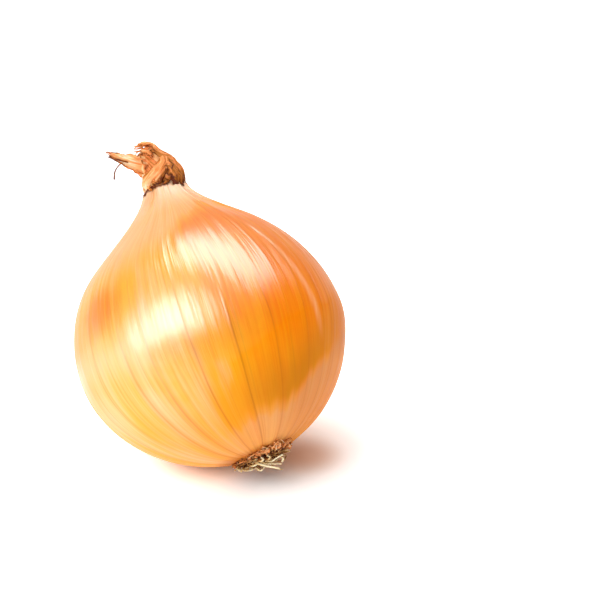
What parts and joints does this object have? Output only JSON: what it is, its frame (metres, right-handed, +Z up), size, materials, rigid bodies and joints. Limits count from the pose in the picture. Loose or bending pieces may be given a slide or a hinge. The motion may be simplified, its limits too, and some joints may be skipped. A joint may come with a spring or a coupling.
{
  "type": "onion",
  "caption": "Whole yellow onion lying on its flank, with ribbed papery skin, a pleated neck that ends in dry twisted leaves, and a tuft of short dry roots.",
  "frame": {"origin": "centre of the small flat spot on the bulb's flank that it rests on", "axes": "+Z up from the surface; the neck points up, back (+Y) and to the left (-X), and the root end faces down, forward and to the right"},
  "size_m": [0.079, 0.0786, 0.088],
  "materials": {
    "skin": "satin",
    "dry_leaf": "matte",
    "root": "matte"
  },
  "bodies": {
    "root": {"bulb": "skin", "dry_neck": "dry_leaf", "roots": "root"}
  },
  "joints": []
}
